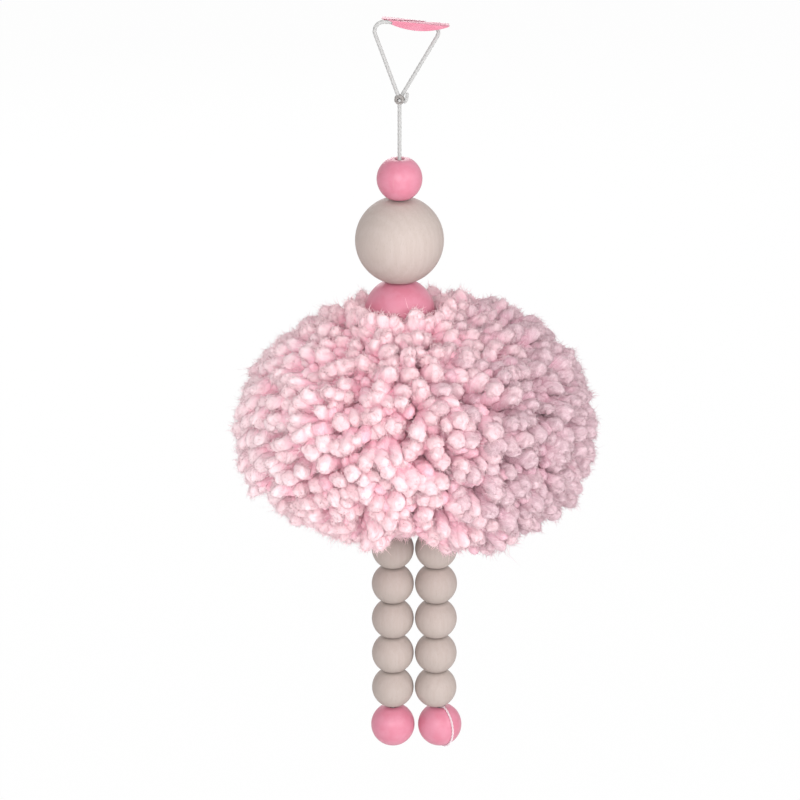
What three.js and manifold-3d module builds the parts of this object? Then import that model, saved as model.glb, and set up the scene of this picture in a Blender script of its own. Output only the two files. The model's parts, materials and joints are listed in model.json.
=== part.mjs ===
// Hanging bead ballerina: painted and plain wooden beads on a cord, a yarn pompom for a tutu,
// and two strings of beads for legs. Millimetres, +Z up, front towards -Y.
// The origin is on top of the hanger, where the loop crosses it above the body cord.
import * as THREE from "three";
import { mergeVertices } from "three/addons/utils/BufferGeometryUtils.js";
import Module from "manifold-3d";

// Cord, thread and running gaps
const cordDiameter = 1.4;
const threadDiameter = 0.7;
const cordGap = 0.3;
const beadGap = 0.3;
const ankleGap = 0.8;
const grooveClearance = 0.3;
const threadClearance = 0.3;
const yarnClearance = 0.35;

// Every bead: bore, chamfer at the bore's mouth, and how far the ends are crowned
const boreDiameter = 3.2;
const boreChamfer = 0.3;
const beadCrown = 0.25;

// Beads of the body, each a ball with a little cut off both ends
const bunDiameter = 15.4;
const bunEndCut = 0.7;
const headDiameter = 30;
const headEndCut = 0.8;
const torsoDiameter = 24;
const torsoEndCut = 0.75;

// Hanger toggle: a flat-topped segment with a round underside
const toggleLength = 22.6;
const toggleHeight = 2.6;
const toggleDepth = 4.6;
const toggleOffset = 5.3;
const toggleTilt = THREE.MathUtils.degToRad(6.4);

// Hanging loop, knot and the bare cord above the bun
const knotDrop = 27.1;
const knotDiameter = 3.8;
const stemLength = 18.5;
const loopBend = 2.8;
const loopSteps = 56;

// Tutu: yarn strands bound at the middle
const tutuWidth = 125.6;
const tutuHeight = 84;
const tutuDrop = 39.3;
const tutuShift = 5.2;
const undersideDrop = 37.8;
const strandCount = 190;
const strandTipWidth = 6.2;
const strandRootWidth = 0.8;
const strandRootDepth = 0.5;
const bundleBallDiameter = 11;
const bundleBallSpacing = 11;
const bundleWaistDiameter = 5.4;
const waistKnotDiameter = 5.2;

// Legs and feet
const legBeadCount = 5;
const legBeadDiameter = 14.7;
const legBeadEndCut = 0.9;
const legSpacing = 15.1;
const legTopDrop = 40.8;
const hipCordLength = 2;
const footDiameter = 15.4;
const footEndCut = 0.5;
const footShift = { left: 0, right: 1.5 };
const footThreadTurn = {
  left: THREE.MathUtils.degToRad(160),
  right: THREE.MathUtils.degToRad(35),
};

// Lengths of the beads along their bores
const bunLength = bunDiameter - 2 * bunEndCut;
const headLength = headDiameter - 2 * headEndCut;
const torsoLength = torsoDiameter - 2 * torsoEndCut;
const legBeadLength = legBeadDiameter - 2 * legBeadEndCut;
const footLength = footDiameter - 2 * footEndCut;

// Heights along the body cord
const knotZ = -knotDrop;
const bunZ = knotZ - knotDiameter / 2 - stemLength - bunLength / 2;
const headZ = bunZ - bunLength / 2 - beadGap - headLength / 2;
const torsoZ = headZ - headLength / 2 - beadGap - torsoLength / 2;
const tutuZ = torsoZ - tutuDrop;
const bundleBottom = -(bundleBallSpacing + bundleBallDiameter) / 2;
const waistKnotZ = bundleBottom - cordGap - waistKnotDiameter / 2;

// Heights along a leg
const legTopZ = tutuZ - legTopDrop;
const swingPivotZ = legTopZ + beadGap / 2;
const spreadPivotZ = swingPivotZ + hipCordLength + cordGap;
const legPitch = legBeadLength + beadGap;
const legBottomZ = legTopZ - legBeadCount * legPitch + beadGap;
const anklePivotZ = legBottomZ - ankleGap / 2;
const footZ = legBottomZ - ankleGap - footLength / 2;

const cordRadius = cordDiameter / 2;
const threadRadius = threadDiameter / 2;

// Finishes
const naturalWood = () => new THREE.MeshStandardMaterial({ color: 0xdcc9b8, roughness: 0.6, metalness: 0 });
const pinkPaint = () => new THREE.MeshStandardMaterial({ color: 0xe08fa6, roughness: 0.45, metalness: 0 });
const pinkYarn = () => new THREE.MeshStandardMaterial({ color: 0xf0b4c4, roughness: 0.95, metalness: 0 });
const paleCord = () => new THREE.MeshStandardMaterial({ color: 0xd2cdca, roughness: 0.85, metalness: 0 });
const whiteThread = () => new THREE.MeshStandardMaterial({ color: 0xe9e2df, roughness: 0.85, metalness: 0 });

const wasm = await Module();
wasm.setup();

function solidFrom(geometry) {
  const bare = geometry.clone();
  bare.deleteAttribute("normal");
  bare.deleteAttribute("uv");
  const merged = mergeVertices(bare, 1e-4);
  const mesh = new wasm.Mesh({
    numProp: 3,
    vertProperties: merged.attributes.position.array,
    triVerts: new Uint32Array(merged.index.array),
  });
  return new wasm.Manifold(mesh);
}

function geometryFrom(solid) {
  const { vertProperties, triVerts } = solid.getMesh();
  const geometry = new THREE.BufferGeometry();
  geometry.setAttribute("position", new THREE.BufferAttribute(vertProperties, 3));
  geometry.setIndex(new THREE.BufferAttribute(triVerts, 1));
  geometry.computeVertexNormals();
  return geometry;
}

const doll = new THREE.Group();

function place(parent, name, geometry, material, x, y, z) {
  const mesh = new THREE.Mesh(geometry, material);
  mesh.name = name;
  mesh.position.set(x, y, z);
  parent.add(mesh);
  return mesh;
}

// A closed profile of [radius, height] points turned round Z
function turned(points, sides) {
  const profile = points.map(([radius, height]) => new THREE.Vector2(radius, height));
  profile.push(profile[0].clone());
  return new THREE.LatheGeometry(profile, sides).rotateX(Math.PI / 2);
}

// A ball cut short at both ends, crowned there, with a chamfered bore
function bead(diameter, length, sides, arcSteps) {
  const radius = diameter / 2;
  const half = length / 2;
  const bore = boreDiameter / 2;
  const rimAngle = Math.asin((half - beadCrown) / radius);
  const outline = [
    [bore, -half + boreChamfer],
    [bore + boreChamfer, -half],
  ];
  for (let step = 0; step <= arcSteps; step++) {
    const angle = rimAngle * (2 * (step / arcSteps) - 1);
    outline.push([radius * Math.cos(angle), radius * Math.sin(angle)]);
  }
  outline.push([bore + boreChamfer, half], [bore, half - boreChamfer]);
  return turned(outline, sides);
}

// A round cord along a curve, closed at both ends
function tube(curve, diameter, steps) {
  const sides = 8;
  const section = new THREE.Shape();
  for (let side = 0; side < sides; side++) {
    const angle = (side / sides) * 2 * Math.PI;
    const x = (diameter / 2) * Math.cos(angle);
    const y = (diameter / 2) * Math.sin(angle);
    if (side === 0) section.moveTo(x, y);
    else section.lineTo(x, y);
  }
  section.closePath();
  return new THREE.ExtrudeGeometry(section, { steps, curveSegments: 1, extrudePath: curve });
}

function straightCord(from, to, diameter) {
  return tube(new THREE.LineCurve3(from, to), diameter, 1);
}

// A knot: a ball drawn in where the turns of cord lie side by side
function knot(diameter, sides) {
  const turns = 2;
  const arcSteps = 12;
  const drawnIn = 0.12;
  const outline = [];
  for (let step = 0; step <= arcSteps; step++) {
    const share = step / arcSteps;
    const angle = Math.PI * (share - 0.5);
    const radius = (diameter / 2) * (1 - drawnIn * Math.abs(Math.sin(turns * Math.PI * share)));
    outline.push(new THREE.Vector2(Math.max(radius * Math.cos(angle), 0), radius * Math.sin(angle)));
  }
  outline[0].x = 0;
  outline[arcSteps].x = 0;
  return new THREE.LatheGeometry(outline, sides).rotateX(Math.PI / 2);
}

// Hanging loop: up the front of the toggle's left tip, across its top and down behind its right end.
// These are the corners that the cord rounds at the two ends of the toggle.
const loopCorners = [
  new THREE.Vector3(-9.6, -3.2, 0.25),
  new THREE.Vector3(14.8, 3.2, -2.49),
];

// Points along a round bend at a corner of the cord's way, with a straight step before and after it
function bendPoints(from, corner, to, radius) {
  const steps = 6;
  const back = from.clone().sub(corner).normalize();
  const onward = to.clone().sub(corner).normalize();
  const half = back.angleTo(onward) / 2;
  const reach = radius / Math.tan(half);
  const centre = back.clone().add(onward).setLength(radius / Math.sin(half)).add(corner);
  const arm = corner.clone().addScaledVector(back, reach).sub(centre);
  const points = [corner.clone().addScaledVector(back, reach + cordDiameter)];
  for (let step = 0; step <= steps; step++) {
    const angle = (Math.PI - 2 * half) * (step / steps);
    const point = centre.clone().addScaledVector(arm, Math.cos(angle));
    points.push(point.addScaledVector(back, -radius * Math.sin(angle)));
  }
  points.push(corner.clone().addScaledVector(onward, reach + cordDiameter));
  return points;
}

function loopCurve() {
  const knotCentre = new THREE.Vector3(0, 0, knotZ);
  const [leftCorner, rightCorner] = loopCorners;
  const reach = knotDiameter / 2 + cordGap;
  const fromKnot = (corner) => corner.clone().sub(knotCentre).setLength(reach).add(knotCentre);
  const points = [
    fromKnot(leftCorner),
    ...bendPoints(knotCentre, leftCorner, rightCorner, loopBend),
    ...bendPoints(leftCorner, rightCorner, knotCentre, loopBend),
    fromKnot(rightCorner),
  ];
  return new THREE.CatmullRomCurve3(points, false, "centripetal");
}

function toggleGeometry(curve) {
  const halfLength = toggleLength / 2;
  const radius = (halfLength * halfLength + toggleHeight * toggleHeight) / (2 * toggleHeight);
  const halfAngle = Math.asin(halfLength / radius);
  const outline = new THREE.Shape();
  outline.moveTo(-halfLength, 0);
  outline.absarc(0, radius - toggleHeight, radius, -Math.PI / 2 - halfAngle, -Math.PI / 2 + halfAngle, false);
  outline.closePath();
  const extrusion = { depth: toggleDepth, bevelEnabled: false, curveSegments: 18 };
  const block = new THREE.ExtrudeGeometry(outline, extrusion);
  block.translate(0, 0, -toggleDepth / 2);
  block.rotateX(Math.PI / 2);
  block.rotateY(toggleTilt);
  block.translate(toggleOffset, 0, -toggleOffset * Math.tan(toggleTilt));
  const groove = tube(curve, cordDiameter + 2 * grooveClearance, loopSteps);
  // The groove runs out over the thin tip, and the chip that it frees there falls away
  const pieces = solidFrom(block).subtract(solidFrom(groove)).decompose();
  pieces.sort((one, other) => other.volume() - one.volume());
  return geometryFrom(pieces[0]);
}

function addHanger() {
  const curve = loopCurve();
  place(doll, "hanger_toggle", toggleGeometry(curve), pinkPaint(), 0, 0, 0);
  place(doll, "hanging_loop", tube(curve, cordDiameter, loopSteps), paleCord(), 0, 0, 0);
  place(doll, "loop_knot", knot(knotDiameter, 16), paleCord(), 0, 0, knotZ);
}

function addBody() {
  const cordTop = new THREE.Vector3(0, 0, knotZ - knotDiameter / 2 - cordGap);
  const cordBottom = new THREE.Vector3(0, 0, tutuZ + bundleBottom);
  place(doll, "body_cord", straightCord(cordTop, cordBottom, cordDiameter), paleCord(), 0, 0, 0);
  place(doll, "bun_bead", bead(bunDiameter, bunLength, 24, 9), pinkPaint(), 0, 0, bunZ);
  place(doll, "head_bead", bead(headDiameter, headLength, 36, 13), naturalWood(), 0, 0, headZ);
  place(doll, "torso_bead", bead(torsoDiameter, torsoLength, 30, 11), pinkPaint(), 0, 0, torsoZ);
}

// Points of the tutu are measured from the middle of its tie
const legAxisX = (side) => tutuShift + (side === "left" ? -1 : 1) * (legSpacing / 2);
const spreadPivot = (side) => new THREE.Vector3(legAxisX(side), 0, spreadPivotZ - tutuZ);
const waistKnotCentre = new THREE.Vector3(0, 0, waistKnotZ);

function hipStrandLine(side) {
  const pivot = spreadPivot(side);
  const away = pivot.clone().sub(waistKnotCentre).normalize();
  const start = waistKnotCentre.clone().addScaledVector(away, waistKnotDiameter / 2 + cordGap);
  const end = pivot.clone().addScaledVector(away, -cordGap - cordRadius * Math.abs(away.x));
  return new THREE.Line3(start, end);
}

// The bound bundle: two balls of yarn joined by the waist that the tie draws in
function bundleGeometry() {
  const ball = bundleBallDiameter / 2;
  const centre = bundleBallSpacing / 2;
  const waist = bundleWaistDiameter / 2;
  const bore = boreDiameter / 2;
  const arcSteps = 4;
  const first = -Math.acos(bore / ball);
  const last = Math.acos(waist / ball);
  const outline = [];
  for (let step = 0; step <= arcSteps; step++) {
    const angle = THREE.MathUtils.lerp(first, last, step / arcSteps);
    outline.push([ball * Math.cos(angle), ball * Math.sin(angle) - centre]);
  }
  const upper = outline.map(([radius, height]) => [radius, -height]).reverse();
  return turned([...outline, ...upper], 10);
}

// Where a strand from root towards tip has to end, clear of the torso bead
function strandEnd(root, tip) {
  const torsoCentre = new THREE.Vector3(0, 0, tutuDrop);
  const dentRadius = torsoDiameter / 2 + yarnClearance + strandTipWidth / Math.SQRT2;
  const along = tip.clone().sub(root);
  const length = along.length();
  const direction = along.divideScalar(length);
  const toCentre = torsoCentre.clone().sub(root);
  const nearest = toCentre.dot(direction);
  const missSquared = toCentre.lengthSq() - nearest * nearest;
  if (missSquared >= dentRadius * dentRadius) return tip;
  const entry = nearest - Math.sqrt(dentRadius * dentRadius - missSquared);
  return root.clone().addScaledVector(direction, Math.min(entry, length));
}

// Does a strand stay clear of the cords and the knot that pass through the yarn?
function strandIsClear(root, tip, cords) {
  const samples = 24;
  const point = new THREE.Vector3();
  const nearest = new THREE.Vector3();
  for (let sample = 1; sample <= samples; sample++) {
    const share = sample / samples;
    point.lerpVectors(root, tip, share);
    const width = THREE.MathUtils.lerp(strandRootWidth, strandTipWidth, share);
    const room = width / Math.SQRT2 + yarnClearance;
    if (point.distanceTo(waistKnotCentre) < waistKnotDiameter / 2 + room) return false;
    for (const cord of cords) {
      cord.closestPointToPoint(point, true, nearest);
      if (nearest.distanceTo(point) < cordRadius + room) return false;
    }
  }
  return true;
}

function strandGeometry(root, tip) {
  const length = root.distanceTo(tip);
  const tipRadius = strandTipWidth / Math.SQRT2;
  const rootRadius = strandRootWidth / Math.SQRT2;
  const strand = new THREE.CylinderGeometry(tipRadius, rootRadius, length, 4, 1);
  const direction = tip.clone().sub(root).normalize();
  strand.translate(0, length / 2, 0);
  strand.applyQuaternion(new THREE.Quaternion().setFromUnitVectors(new THREE.Vector3(0, 1, 0), direction));
  return strand.translate(root.x, root.y, root.z);
}

function yarnGeometry() {
  const goldenAngle = Math.PI * (3 - Math.sqrt(5));
  const bodyCord = new THREE.Line3(new THREE.Vector3(0, 0, bundleBottom), new THREE.Vector3(0, 0, tutuDrop));
  const cords = [bodyCord, hipStrandLine("left"), hipStrandLine("right")];
  let yarn = solidFrom(bundleGeometry());
  for (let index = 0; index < strandCount; index++) {
    const height = 1 - (2 * index + 1) / strandCount;
    const ring = Math.sqrt(1 - height * height);
    const turn = index * goldenAngle;
    const tip = new THREE.Vector3(
      tutuShift + (tutuWidth / 2) * ring * Math.cos(turn),
      (tutuWidth / 2) * ring * Math.sin(turn),
      (tutuHeight / 2) * height,
    );
    const ballCentre = new THREE.Vector3(0, 0, (Math.sign(height) * bundleBallSpacing) / 2);
    const outward = tip.clone().sub(ballCentre).setLength(bundleBallDiameter / 2 - strandRootDepth);
    const root = ballCentre.add(outward);
    const end = strandEnd(root, tip);
    if (strandIsClear(root, end, cords)) yarn = yarn.add(solidFrom(strandGeometry(root, end)));
  }
  const trimHeight = tutuHeight;
  const underside = new THREE.CylinderGeometry(tutuWidth, tutuWidth, trimHeight, 24).rotateX(Math.PI / 2);
  underside.translate(0, 0, -undersideDrop - trimHeight / 2);
  return geometryFrom(yarn.subtract(solidFrom(underside)));
}

function addTutu() {
  const tutu = new THREE.Group();
  tutu.position.z = tutuZ;
  doll.add(tutu);
  const tieRadius = bundleWaistDiameter / 2 + cordGap + cordRadius;
  place(tutu, "tutu_yarn", yarnGeometry(), pinkYarn(), 0, 0, 0);
  place(tutu, "tutu_tie", new THREE.TorusGeometry(tieRadius, cordRadius, 8, 24), paleCord(), 0, 0, 0);
  place(tutu, "waist_knot", knot(waistKnotDiameter, 16), paleCord(), 0, 0, waistKnotZ);
  for (const side of ["left", "right"]) {
    const line = hipStrandLine(side);
    const strand = straightCord(line.start, line.end, cordDiameter);
    place(tutu, `${side}_hip_strand`, strand, paleCord(), 0, 0, 0);
  }
}

// Thread over the outside of a foot bead, from under the bead above to the bore below
function footThreadGeometry() {
  const radius = footDiameter / 2 + threadClearance + threadRadius;
  const half = footLength / 2;
  const firstAngle = THREE.MathUtils.degToRad(32);
  const lastAngle = THREE.MathUtils.degToRad(150);
  const arcPoints = 7;
  const route = [];
  for (let index = 0; index < arcPoints; index++) {
    const angle = THREE.MathUtils.lerp(firstAngle, lastAngle, index / (arcPoints - 1));
    route.push(new THREE.Vector3(0, -radius * Math.sin(angle), radius * Math.cos(angle)));
  }
  const underFoot = half + threadClearance + threadRadius;
  route.push(new THREE.Vector3(0, -boreDiameter / 2, -underFoot));
  route.push(new THREE.Vector3(0, 0, -half));
  route.push(new THREE.Vector3(0, 0, -half + boreDiameter));
  return tube(new THREE.CatmullRomCurve3(route, false, "centripetal"), threadDiameter, 26);
}

function addLeg(side) {
  const leg = new THREE.Group();
  leg.position.x = legAxisX(side);
  doll.add(leg);
  const cordBetween = (name, top, bottom, x) => {
    const from = new THREE.Vector3(x, 0, top - cordGap / 2);
    const to = new THREE.Vector3(x, 0, bottom + cordGap / 2);
    place(leg, name, straightCord(from, to, cordDiameter), paleCord(), 0, 0, 0);
  };
  cordBetween(`${side}_hip_cord`, spreadPivotZ, swingPivotZ, 0);
  for (let number = 1; number <= legBeadCount; number++) {
    const top = legTopZ - (number - 1) * legPitch;
    const beadMesh = bead(legBeadDiameter, legBeadLength, 20, 8);
    place(leg, `${side}_leg_bead_${number}`, beadMesh, naturalWood(), 0, 0, top - legBeadLength / 2);
    const below = number < legBeadCount ? top - legBeadLength - beadGap / 2 : anklePivotZ;
    cordBetween(`${side}_leg_cord_${number}`, top + beadGap / 2, below, 0);
  }
  const footX = footShift[side];
  cordBetween(`${side}_foot_cord`, anklePivotZ, footZ, footX);
  place(leg, `${side}_foot_bead`, bead(footDiameter, footLength, 24, 9), pinkPaint(), footX, 0, footZ);
  const thread = place(leg, `${side}_foot_thread`, footThreadGeometry(), whiteThread(), footX, 0, footZ);
  thread.rotation.z = footThreadTurn[side];
}

addHanger();
addBody();
addTutu();
addLeg("left");
addLeg("right");

export default doll;
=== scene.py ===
# Hanging bead ballerina: turned beads, twisted cord and a cut-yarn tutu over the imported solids.
# Metres, +Z up, front towards -Y, origin on top of the hanger.
import json
import math

import bmesh
import bpy
import numpy as np
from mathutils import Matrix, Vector


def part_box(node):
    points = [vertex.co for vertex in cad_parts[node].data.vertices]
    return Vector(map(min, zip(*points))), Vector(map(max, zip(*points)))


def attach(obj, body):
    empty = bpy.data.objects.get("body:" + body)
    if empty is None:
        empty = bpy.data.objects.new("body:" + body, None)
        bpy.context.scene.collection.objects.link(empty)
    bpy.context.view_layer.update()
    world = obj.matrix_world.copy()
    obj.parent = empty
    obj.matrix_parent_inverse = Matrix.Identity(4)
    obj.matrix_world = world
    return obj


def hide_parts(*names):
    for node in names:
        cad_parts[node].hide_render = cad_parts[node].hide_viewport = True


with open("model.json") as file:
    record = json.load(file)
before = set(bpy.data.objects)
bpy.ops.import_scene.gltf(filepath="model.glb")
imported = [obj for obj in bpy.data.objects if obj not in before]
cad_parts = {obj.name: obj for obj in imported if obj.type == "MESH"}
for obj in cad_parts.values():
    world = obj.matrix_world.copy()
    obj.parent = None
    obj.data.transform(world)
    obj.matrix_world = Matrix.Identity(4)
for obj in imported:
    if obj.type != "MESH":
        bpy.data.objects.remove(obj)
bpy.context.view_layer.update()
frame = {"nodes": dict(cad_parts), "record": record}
mm = 0.001
chance = np.random.default_rng(23)
bodyOf = {
    node: body
    for body, nodes in frame["record"]["behaviour"]["bodies"].items()
    for node in nodes
}


# Camera: in front of the doll and above it, looking down
view = {
    "aim": (0.00017, 0.0, -0.1334),
    "tilt": math.radians(20),
    "distance": 1.2,
    "lens": 157.6,
    "sensor": 36,
    "near": 0.05,
}

def placeCamera():
    camera = bpy.data.objects.new("doll_camera", bpy.data.cameras.new("doll_camera"))
    bpy.context.scene.collection.objects.link(camera)
    camera.data.lens = view["lens"]
    camera.data.sensor_width = view["sensor"]
    camera.data.clip_start = view["near"]
    back = Vector((0, -math.cos(view["tilt"]), math.sin(view["tilt"])))
    camera.location = Vector(view["aim"]) + back * view["distance"]
    camera.rotation_euler = (math.pi / 2 - view["tilt"], 0, 0)
    bpy.context.scene.camera = camera

placeCamera()
bpy.context.scene.view_settings.view_transform = "Standard"
print("camera placed")


# Shader helpers
def newFinish(name):
    finish = bpy.data.materials.new(name)
    finish.use_nodes = True
    nodes = finish.node_tree.nodes
    return finish, nodes, nodes["Principled BSDF"]

def wire(output, socket):
    socket.id_data.links.new(output, socket)

def fill(node, sockets):
    for key, value in sockets.items():
        node.inputs[key].default_value = value

def addNode(nodes, kind, sockets=None, **settings):
    node = nodes.new(kind)
    for key, value in settings.items():
        setattr(node, key, value)
    fill(node, sockets or {})
    return node

def readValue(nodes, name):
    return addNode(nodes, "ShaderNodeAttribute", attribute_name=name)

def readPlace(nodes, name, scale):
    place = readValue(nodes, name)
    stretch = addNode(nodes, "ShaderNodeMapping", {"Scale": scale})
    wire(place.outputs["Vector"], stretch.inputs["Vector"])
    return stretch.outputs["Vector"]

def addNoise(nodes, place, scale, detail, roughness):
    noise = addNode(
        nodes, "ShaderNodeTexNoise",
        {"Scale": scale, "Detail": detail, "Roughness": roughness},
    )
    wire(place, noise.inputs["Vector"])
    return noise.outputs["Fac"]

# Turns a noise value between low and high into a share between start and end
def addRange(nodes, value, low, high, start=0.0, end=1.0):
    limit = addNode(
        nodes, "ShaderNodeMapRange",
        {"From Min": low, "From Max": high, "To Min": start, "To Max": end},
        interpolation_type="SMOOTHSTEP",
    )
    wire(value, limit.inputs["Value"])
    return limit.outputs["Result"]

def mixColours(nodes, share, first, second):
    mix = addNode(nodes, "ShaderNodeMix", data_type="RGBA")
    wire(share, mix.inputs["Factor"])
    for socket, colour in ((6, first), (7, second)):
        if isinstance(colour, tuple):
            mix.inputs[socket].default_value = (*colour, 1)
        else:
            wire(colour, mix.inputs[socket])
    return mix.outputs[2]

def addBump(nodes, height, strength, distance, below=None):
    bump = addNode(nodes, "ShaderNodeBump", {"Strength": strength, "Distance": distance})
    wire(height, bump.inputs["Height"])
    if below is not None:
        wire(below, bump.inputs["Normal"])
    return bump.outputs["Normal"]


# Pale beech: upright grain, soft year rings and short darker flecks
beech = {
    "pale": (0.50, 0.425, 0.395),
    "warm": (0.43, 0.35, 0.31),
    "fleck": (0.32, 0.245, 0.205),
    "shadeDark": (0.30, 0.25, 0.225),
    "ringSpacing": 2.6 * mm,
    "grainWidth": 0.9 * mm,
    "fleckWidth": 0.34 * mm,
    "waveLength": 0.314,
    "flow": (1, 1, 0.09),
    "fleckFlow": (1, 1, 0.3),
    "ringRange": (0.1, 0.95, 0.0, 0.18),
    "grainRange": (0.36, 0.68, 0.0, 0.32),
    "fleckRange": (0.60, 0.72, 0.0, 0.24),
    "roughRange": (0.3, 0.7, 0.56, 0.7),
    "sockets": {"Specular IOR Level": 0.25},
}

def beechGrain(nodes):
    along = readPlace(nodes, "grainPlace", beech["flow"])
    short = readPlace(nodes, "grainPlace", beech["fleckFlow"])
    scale = beech["waveLength"] / beech["ringSpacing"]
    rings = addNode(
        nodes, "ShaderNodeTexWave",
        {"Scale": scale, "Distortion": 3.0, "Detail": 3.0, "Detail Scale": 1.4},
        bands_direction="X",
    )
    wire(along, rings.inputs["Vector"])
    grain = addNoise(nodes, along, 1 / beech["grainWidth"], 6, 0.62)
    flecks = addNoise(nodes, short, 1 / beech["fleckWidth"], 2, 0.5)
    return rings.outputs["Fac"], grain, flecks

def makeBeech():
    finish, nodes, surface = newFinish("pale_beech")
    rings, grain, flecks = beechGrain(nodes)
    ringShare = addRange(nodes, rings, *beech["ringRange"])
    grainShare = addRange(nodes, grain, *beech["grainRange"])
    fleckShare = addRange(nodes, flecks, *beech["fleckRange"])
    ringed = mixColours(nodes, ringShare, beech["pale"], beech["warm"])
    grained = mixColours(nodes, grainShare, ringed, beech["warm"])
    flecked = mixColours(nodes, fleckShare, grained, beech["fleck"])
    # Leg beads are painted darker as shade under the tutu; each bead also gets a small random tone
    toneShade = readValue(nodes, "woodToneShade")
    colour = mixColours(nodes, toneShade.outputs["Fac"], flecked, beech["shadeDark"])
    wire(colour, surface.inputs["Base Color"])
    fill(surface, beech["sockets"])
    rough = addRange(nodes, grain, *beech["roughRange"])
    wire(rough, surface.inputs["Roughness"])
    fine = addBump(nodes, flecks, 0.12, 0.15 * mm)
    wire(addBump(nodes, grain, 0.16, 0.2 * mm, fine), surface.inputs["Normal"])
    return finish


# Satin pink paint: the grain shows through a little, and it is thin at the mouths of the bores
paint = {
    "pink": (0.585, 0.19, 0.265),
    "light": (0.63, 0.25, 0.335),
    "worn": (0.58, 0.29, 0.32),
    "patchWidth": 4.5 * mm,
    "skinWidth": 0.45 * mm,
    "patchRange": (0.3, 0.7, 0.0, 0.7),
    "grainRange": (0.52, 0.7, 0.0, 0.16),
    "wearRange": (0.35, 0.65),
    "roughRange": (0.3, 0.7, 0.36, 0.48),
    "sockets": {"Specular IOR Level": 0.3},
}

def makePaint():
    finish, nodes, surface = newFinish("pink_satin_paint")
    even = readPlace(nodes, "grainPlace", (1, 1, 1))
    grain = beechGrain(nodes)[1]
    patches = addNoise(nodes, even, 1 / paint["patchWidth"], 3, 0.5)
    skin = addNoise(nodes, even, 1 / paint["skinWidth"], 2, 0.5)
    patchShare = addRange(nodes, patches, *paint["patchRange"])
    colour = mixColours(nodes, patchShare, paint["pink"], paint["light"])
    grainShare = addRange(nodes, grain, *paint["grainRange"])
    colour = mixColours(nodes, grainShare, colour, paint["worn"])
    wear = readValue(nodes, "mouthWear")
    uneven = addNode(nodes, "ShaderNodeMath", operation="MULTIPLY")
    wire(wear.outputs["Fac"], uneven.inputs[0])
    wire(addRange(nodes, patches, *paint["wearRange"]), uneven.inputs[1])
    colour = mixColours(nodes, uneven.outputs[0], colour, paint["worn"])
    wire(colour, surface.inputs["Base Color"])
    rough = addRange(nodes, skin, *paint["roughRange"])
    wire(rough, surface.inputs["Roughness"])
    fill(surface, paint["sockets"])
    fine = addBump(nodes, skin, 0.05, 0.1 * mm)
    wire(addBump(nodes, grain, 0.09, 0.15 * mm, fine), surface.inputs["Normal"])
    return finish


# Twisted cord and thread: fibres run along each ply, and the grooves between plies are darker as painted
# shade
# Each look's groove colour is painted shade between the plies
cordLook = {"pale": (0.50, 0.495, 0.49), "grey": (0.45, 0.445, 0.44), "groove": (0.34, 0.335, 0.33)}
# The knot's cord is painted darker all over, as shade on the knot
knotShadeLook = {"pale": (0.36, 0.335, 0.32), "grey": (0.28, 0.26, 0.25), "groove": (0.18, 0.17, 0.165)}
threadLook = {"pale": (0.82, 0.70, 0.73), "grey": (0.72, 0.57, 0.61), "groove": (0.60, 0.44, 0.49)}

twistLook = {
    "flow": (1, 1, 0.12),
    "fibreRange": (0.34, 0.66),
    "creaseShadeRange": (0.22, 0.42, 0.0, 0.4),
    "roughRange": (0.3, 0.7, 0.78, 0.95),
    "sockets": {"Sheen Weight": 0.25, "Sheen Roughness": 0.5},
}

def makeTwist(name, look, fibreWidth):
    finish, nodes, surface = newFinish(name)
    lay = readPlace(nodes, "layPlace", twistLook["flow"])
    fibres = addNoise(nodes, lay, 1 / fibreWidth, 5, 0.6)
    share = addRange(nodes, fibres, *twistLook["fibreRange"])
    colour = mixColours(nodes, share, look["pale"], look["grey"])
    # Painted shade in the grooves between plies
    depth = readValue(nodes, "creaseShadeDepth")
    shade = addRange(nodes, depth.outputs["Fac"], *twistLook["creaseShadeRange"])
    colour = mixColours(nodes, shade, colour, look["groove"])
    wire(colour, surface.inputs["Base Color"])
    rough = addRange(nodes, fibres, *twistLook["roughRange"])
    wire(rough, surface.inputs["Roughness"])
    wire(addBump(nodes, fibres, 0.2, 0.1 * mm), surface.inputs["Normal"])
    fill(surface, twistLook["sockets"])
    return finish


# Yarn: the strands' own colour holds the pink dye with painted light and shade, with streaks of fibre along
# them
yarnLook = {
    "streakWidth": 0.5 * mm,
    "lightest": (0.99, 0.86, 0.885),
    "flow": (1, 1, 0.16),
    "streakRange": (0.38, 0.7),
    "roughRange": (0.3, 0.7, 0.86, 1.0),
    "reliefDepth": 0.5 * mm,
    "sockets": {
        "Specular IOR Level": 0.1,
        "Sheen Weight": 0.4,
        "Sheen Roughness": 0.5,
        "Sheen Tint": (1, 0.75, 0.8, 1),
    },
}

def makeYarn(name, streaks, relief):
    finish, nodes, surface = newFinish(name)
    lay = readPlace(nodes, "layPlace", yarnLook["flow"])
    fibres = addNoise(nodes, lay, 1 / yarnLook["streakWidth"], 5, 0.6)
    # The strands' colour: pink dye with painted shade deep inside and on the right, and a painted highlight
    # on the left
    dyeAndShade = readValue(nodes, "dyeAndShade")
    share = addRange(nodes, fibres, *yarnLook["streakRange"], 0.0, streaks)
    colour = mixColours(nodes, share, dyeAndShade.outputs["Color"], yarnLook["lightest"])
    wire(colour, surface.inputs["Base Color"])
    rough = addRange(nodes, fibres, *yarnLook["roughRange"])
    wire(rough, surface.inputs["Roughness"])
    if relief:
        raised = addBump(nodes, fibres, relief, yarnLook["reliefDepth"])
        wire(raised, surface.inputs["Normal"])
    fill(surface, yarnLook["sockets"])
    return finish

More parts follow.
